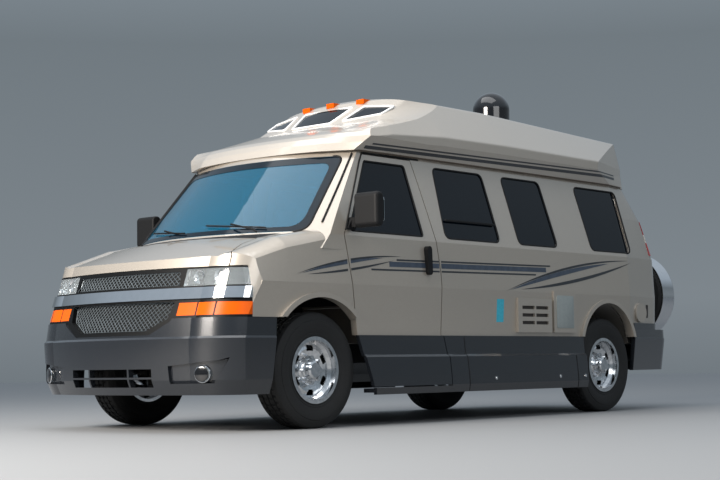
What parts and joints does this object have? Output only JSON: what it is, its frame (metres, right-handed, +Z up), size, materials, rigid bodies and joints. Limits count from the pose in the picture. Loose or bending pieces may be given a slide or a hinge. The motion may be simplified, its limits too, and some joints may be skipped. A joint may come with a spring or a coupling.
{
  "type": "camper van with a moulded high roof",
  "caption": "Long camper van with a raised moulded roof, dark lower cladding, side and rear doors that open, and a covered spare wheel on the back.",
  "frame": {"origin": "on the ground, at the middle of the box around the whole vehicle", "axes": "+X forwards along the vehicle, +Y to the driver's left, +Z up"},
  "size_m": [5.88, 2.47, 2.735],
  "materials": {
    "body_paint": "champagne metallic, clear coated",
    "roof_shell": "moulded shell in body colour",
    "cladding": "charcoal, semi gloss",
    "black_trim": "grained black",
    "bright_trim": "plated",
    "wheel_steel": "bright plated steel",
    "tyre_rubber": "black rubber",
    "dark_glass": "deep tint",
    "screen_glass": "light tint",
    "lamp_glass": "clear",
    "amber_lens": "translucent amber",
    "red_lens": "translucent red and clear",
    "chassis_steel": "black coated steel",
    "forged_iron": "as cast",
    "floor_steel": "coated sheet",
    "cab_plastic": "grained",
    "seat_leather": "soft beige",
    "cabinet_wood": "oiled veneer"
  },
  "bodies": {
    "body_shell": {"amber_lamps": "amber_lens", "cab_seats": "seat_leather", "camper_furniture": "cabinet_wood", "chrome_bar": "bright_trim", "coach_windows": "dark_glass", "cowl": "black_trim", "dashboard": "cab_plastic", "engine_block": "forged_iron", "floor_pan": "floor_steel", "frame_rails": "chassis_steel", "front_bumper": "cladding", "front_fenders": "body_paint", "front_lamps": "lamp_glass", "grille": "black_trim", "high_roof": "roof_shell", "hitch_receiver": "chassis_steel", "left_side_panel": "body_paint", "rear_axle": "forged_iron", "rear_bumper": "cladding", "right_side_panel": "body_paint", "roof_dome": "black_trim", "roof_windows": "dark_glass", "screen_frame": "body_paint", "side_hatches": "body_paint", "side_skirts": "cladding", "tail_lamps": "red_lens", "windscreen": "screen_glass"},
    "left_cab_door": {"left_cab_door": "body_paint", "left_cab_glass": "dark_glass", "left_door_trim": "black_trim", "left_door_cladding": "cladding"},
    "right_cab_door": {"right_cab_door": "body_paint", "right_cab_glass": "dark_glass", "right_door_trim": "black_trim", "right_door_cladding": "cladding"},
    "side_door_front": {"side_door_front": "body_paint", "side_glass_front": "dark_glass", "side_door_handle": "black_trim"},
    "side_door_rear": {"side_door_rear": "body_paint", "side_glass_rear": "dark_glass"},
    "left_rear_door": {"left_rear_door": "body_paint", "left_rear_glass": "dark_glass", "spare_tyre": "tyre_rubber", "spare_cover": "bright_trim", "spare_carrier": "black_trim"},
    "right_rear_door": {"right_rear_door": "body_paint", "right_rear_glass": "dark_glass", "rear_door_handle": "black_trim"},
    "hood": {"hood": "body_paint"},
    "steering_wheel": {"steering_wheel": "black_trim"},
    "left_knuckle": {"left_knuckle": "forged_iron"},
    "right_knuckle": {"right_knuckle": "forged_iron"},
    "left_front_wheel": {"left_front_tyre": "tyre_rubber", "left_front_rim": "wheel_steel"},
    "right_front_wheel": {"right_front_tyre": "tyre_rubber", "right_front_rim": "wheel_steel"},
    "left_rear_wheel": {"left_rear_tyre": "tyre_rubber", "left_rear_rim": "wheel_steel"},
    "right_rear_wheel": {"right_rear_tyre": "tyre_rubber", "right_rear_rim": "wheel_steel"}
  },
  "joints": [
    {"name": "left_cab_door_hinge", "type": "hinge", "parent": "body_shell", "child": "left_cab_door", "pos_m": [1.712, 1.008, 1], "axis": [0, 0, -1], "range_deg": [0, 70]},
    {"name": "right_cab_door_hinge", "type": "hinge", "parent": "body_shell", "child": "right_cab_door", "pos_m": [1.712, -1.008, 1], "axis": [0, 0, 1], "range_deg": [0, 70]},
    {"name": "side_door_front_hinge", "type": "hinge", "parent": "body_shell", "child": "side_door_front", "pos_m": [0.65, -1.008, 1], "axis": [0, 0, 1], "range_deg": [0, 90]},
    {"name": "side_door_rear_hinge", "type": "hinge", "parent": "body_shell", "child": "side_door_rear", "pos_m": [-0.54, -1.008, 1], "axis": [0, 0, -1], "range_deg": [0, 90]},
    {"name": "left_rear_door_hinge", "type": "hinge", "parent": "body_shell", "child": "left_rear_door", "pos_m": [-2.495, 0.78, 1], "axis": [0, 0, -1], "range_deg": [0, 100]},
    {"name": "right_rear_door_hinge", "type": "hinge", "parent": "body_shell", "child": "right_rear_door", "pos_m": [-2.495, -0.78, 1], "axis": [0, 0, 1], "range_deg": [0, 100]},
    {"name": "hood_hinge", "type": "hinge", "parent": "body_shell", "child": "hood", "pos_m": [2.26, 0, 1.28], "axis": [0, -1, 0], "range_deg": [0, 50]},
    {"name": "left_steer", "type": "hinge", "parent": "body_shell", "child": "left_knuckle", "pos_m": [1.96, 0.7, 0.381], "axis": [0, 0, 1], "range_deg": [-30, 30]},
    {"name": "right_steer", "type": "hinge", "parent": "body_shell", "child": "right_knuckle", "pos_m": [1.96, -0.7, 0.381], "axis": [0, 0, 1], "range_deg": [-30, 30]},
    {"name": "steering_wheel_turn", "type": "hinge", "parent": "body_shell", "child": "steering_wheel", "pos_m": [1.412, 0.48, 1.235], "axis": [-0.848, 0, 0.5299], "range_deg": [-480, 480]},
    {"name": "left_front_spin", "type": "hinge", "parent": "left_knuckle", "child": "left_front_wheel", "pos_m": [1.96, 0.84, 0.381], "axis": [0, 1, 0], "continuous": true},
    {"name": "right_front_spin", "type": "hinge", "parent": "right_knuckle", "child": "right_front_wheel", "pos_m": [1.96, -0.84, 0.381], "axis": [0, 1, 0], "continuous": true},
    {"name": "left_rear_spin", "type": "hinge", "parent": "body_shell", "child": "left_rear_wheel", "pos_m": [-1.469, 0.84, 0.381], "axis": [0, 1, 0], "continuous": true},
    {"name": "right_rear_spin", "type": "hinge", "parent": "body_shell", "child": "right_rear_wheel", "pos_m": [-1.469, -0.84, 0.381], "axis": [0, 1, 0], "continuous": true}
  ],
  "couplings": [
    {"joint": "right_steer", "follows": "left_steer", "ratio": 1},
    {"joint": "steering_wheel_turn", "follows": "left_steer", "ratio": 16}
  ]
}
